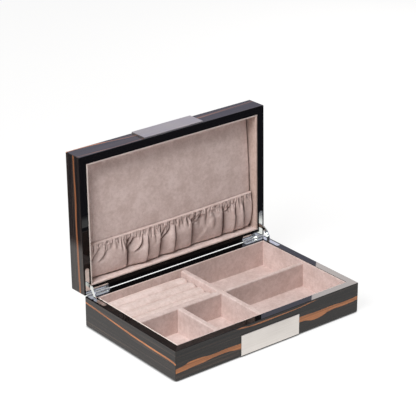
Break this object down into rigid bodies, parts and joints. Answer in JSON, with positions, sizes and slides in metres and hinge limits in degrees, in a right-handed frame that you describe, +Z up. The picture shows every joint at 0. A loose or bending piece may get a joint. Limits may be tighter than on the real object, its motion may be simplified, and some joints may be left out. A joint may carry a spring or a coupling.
{
  "type": "valet box",
  "caption": "Low hinged valet box in glossy ebony veneer with steel front plates, suede-lined compartments, ring rolls and an elastic pocket in its lid.",
  "frame": {"origin": "centre of the base's underside", "axes": "+Z up, +X along the box's width to the right as seen from the front, +Y to the hinged back"},
  "size_m": [0.306, 0.2278, 0.2377],
  "materials": {
    "ebony_veneer": "high-gloss lacquered ebony veneer with orange-brown streaks",
    "board": "plain fibreboard",
    "felt": "black felt",
    "satin_steel": "satin brushed",
    "suede": "taupe suede with a short nap",
    "elastic": "woven elastic tape",
    "chrome": "polished chrome"
  },
  "bodies": {
    "base": {"base_front_wall": "ebony_veneer", "base_back_wall": "ebony_veneer", "base_left_wall": "ebony_veneer", "base_right_wall": "ebony_veneer", "base_bottom_panel": "board", "base_felt_sheet": "felt", "base_front_plate": "satin_steel", "base_lining_front": "suede", "base_lining_back": "suede", "base_lining_left": "suede", "base_lining_right": "suede", "base_floor_lining": "suede", "centre_divider": "suede", "right_cross_divider": "suede", "left_cross_divider": "suede", "small_divider": "suede", "ring_roll_1": "suede", "ring_roll_2": "suede", "ring_roll_3": "suede", "ring_roll_4": "suede", "left_base_leaf": "chrome", "right_base_leaf": "chrome", "left_hinge_pin": "chrome", "right_hinge_pin": "chrome", "base_leaf_screws": "chrome"},
    "lid": {"lid_front_wall": "ebony_veneer", "lid_back_wall": "ebony_veneer", "lid_left_wall": "ebony_veneer", "lid_right_wall": "ebony_veneer", "lid_top_panel": "ebony_veneer", "lid_backing_board": "board", "lid_front_plate": "satin_steel", "lid_lining_front": "suede", "lid_lining_back": "suede", "lid_lining_left": "suede", "lid_lining_right": "suede", "lid_pad": "suede", "lid_pocket": "suede", "pocket_casing": "suede", "pocket_elastic": "elastic", "left_lid_leaf": "chrome", "right_lid_leaf": "chrome", "lid_leaf_screws": "chrome"},
    "left_stay": {"left_stay_arm": "chrome", "left_stay_pins": "chrome"},
    "right_stay": {"right_stay_arm": "chrome", "right_stay_pins": "chrome"}
  },
  "joints": [
    {"name": "lid_hinge", "type": "hinge", "parent": "base", "child": "lid", "pos_m": [0, 0.09675, 0.0428], "axis": [1, 0, 0], "range_deg": [0, 91.2]},
    {"name": "left_stay_swing", "type": "hinge", "parent": "base", "child": "left_stay", "pos_m": [0, 0.09675, 0.0428], "axis": [1, 0, 0], "range_deg": [0, 45.6]},
    {"name": "right_stay_swing", "type": "hinge", "parent": "base", "child": "right_stay", "pos_m": [0, 0.09675, 0.0428], "axis": [1, 0, 0], "range_deg": [0, 45.6]}
  ],
  "couplings": [
    {"joint": "left_stay_swing", "follows": "lid_hinge", "ratio": 0.5},
    {"joint": "right_stay_swing", "follows": "lid_hinge", "ratio": 0.5}
  ]
}
